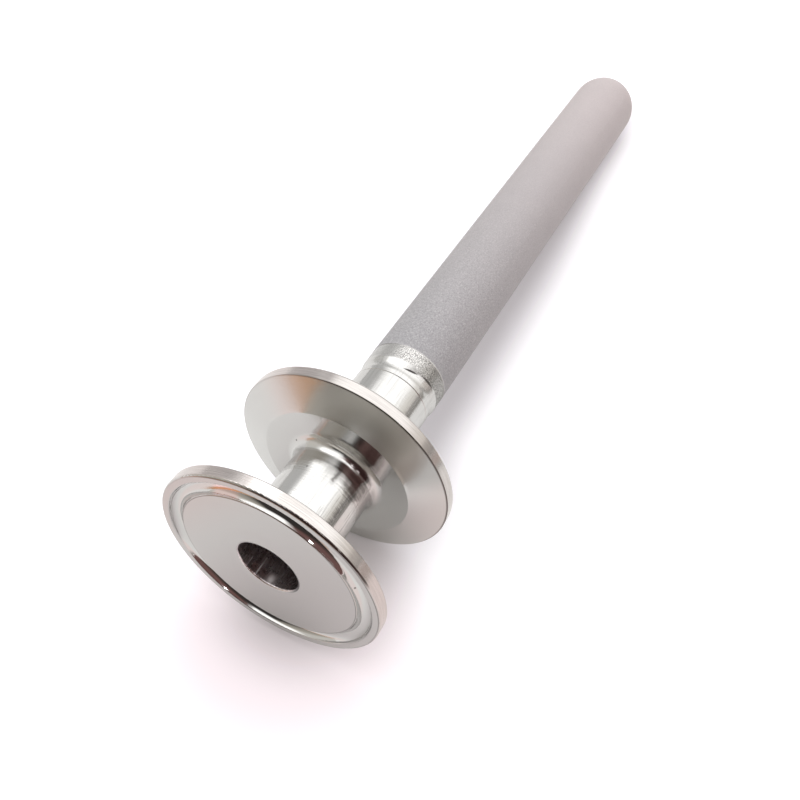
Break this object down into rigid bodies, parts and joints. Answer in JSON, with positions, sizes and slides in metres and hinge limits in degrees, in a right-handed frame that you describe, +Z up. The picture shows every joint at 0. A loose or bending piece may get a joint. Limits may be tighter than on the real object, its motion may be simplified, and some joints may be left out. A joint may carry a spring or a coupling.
{
  "type": "aeration stone",
  "caption": "Sintered metal aeration stone on a short tube with back-to-back clamp ferrules: one for the gas inlet, one to hold the stone inside a vessel port.",
  "frame": {"origin": "centre of the inlet ferrule's gasket face, on which the part stands", "axes": "+Z up along the part's axis, from the inlet ferrule to the stone's domed tip; the part is round about Z, so X and Y are free"},
  "size_m": [0.0506, 0.0504, 0.206],
  "materials": {
    "polished_steel": "turned and polished stainless steel with fine circular tool lines",
    "sintered_steel": "matt sintered stainless powder, with a burnished band beside the weld"
  },
  "bodies": {
    "root": {"inlet_ferrule": "polished_steel", "mounting_ferrule": "polished_steel", "stone_adapter": "polished_steel", "porous_stone": "sintered_steel"}
  },
  "joints": []
}
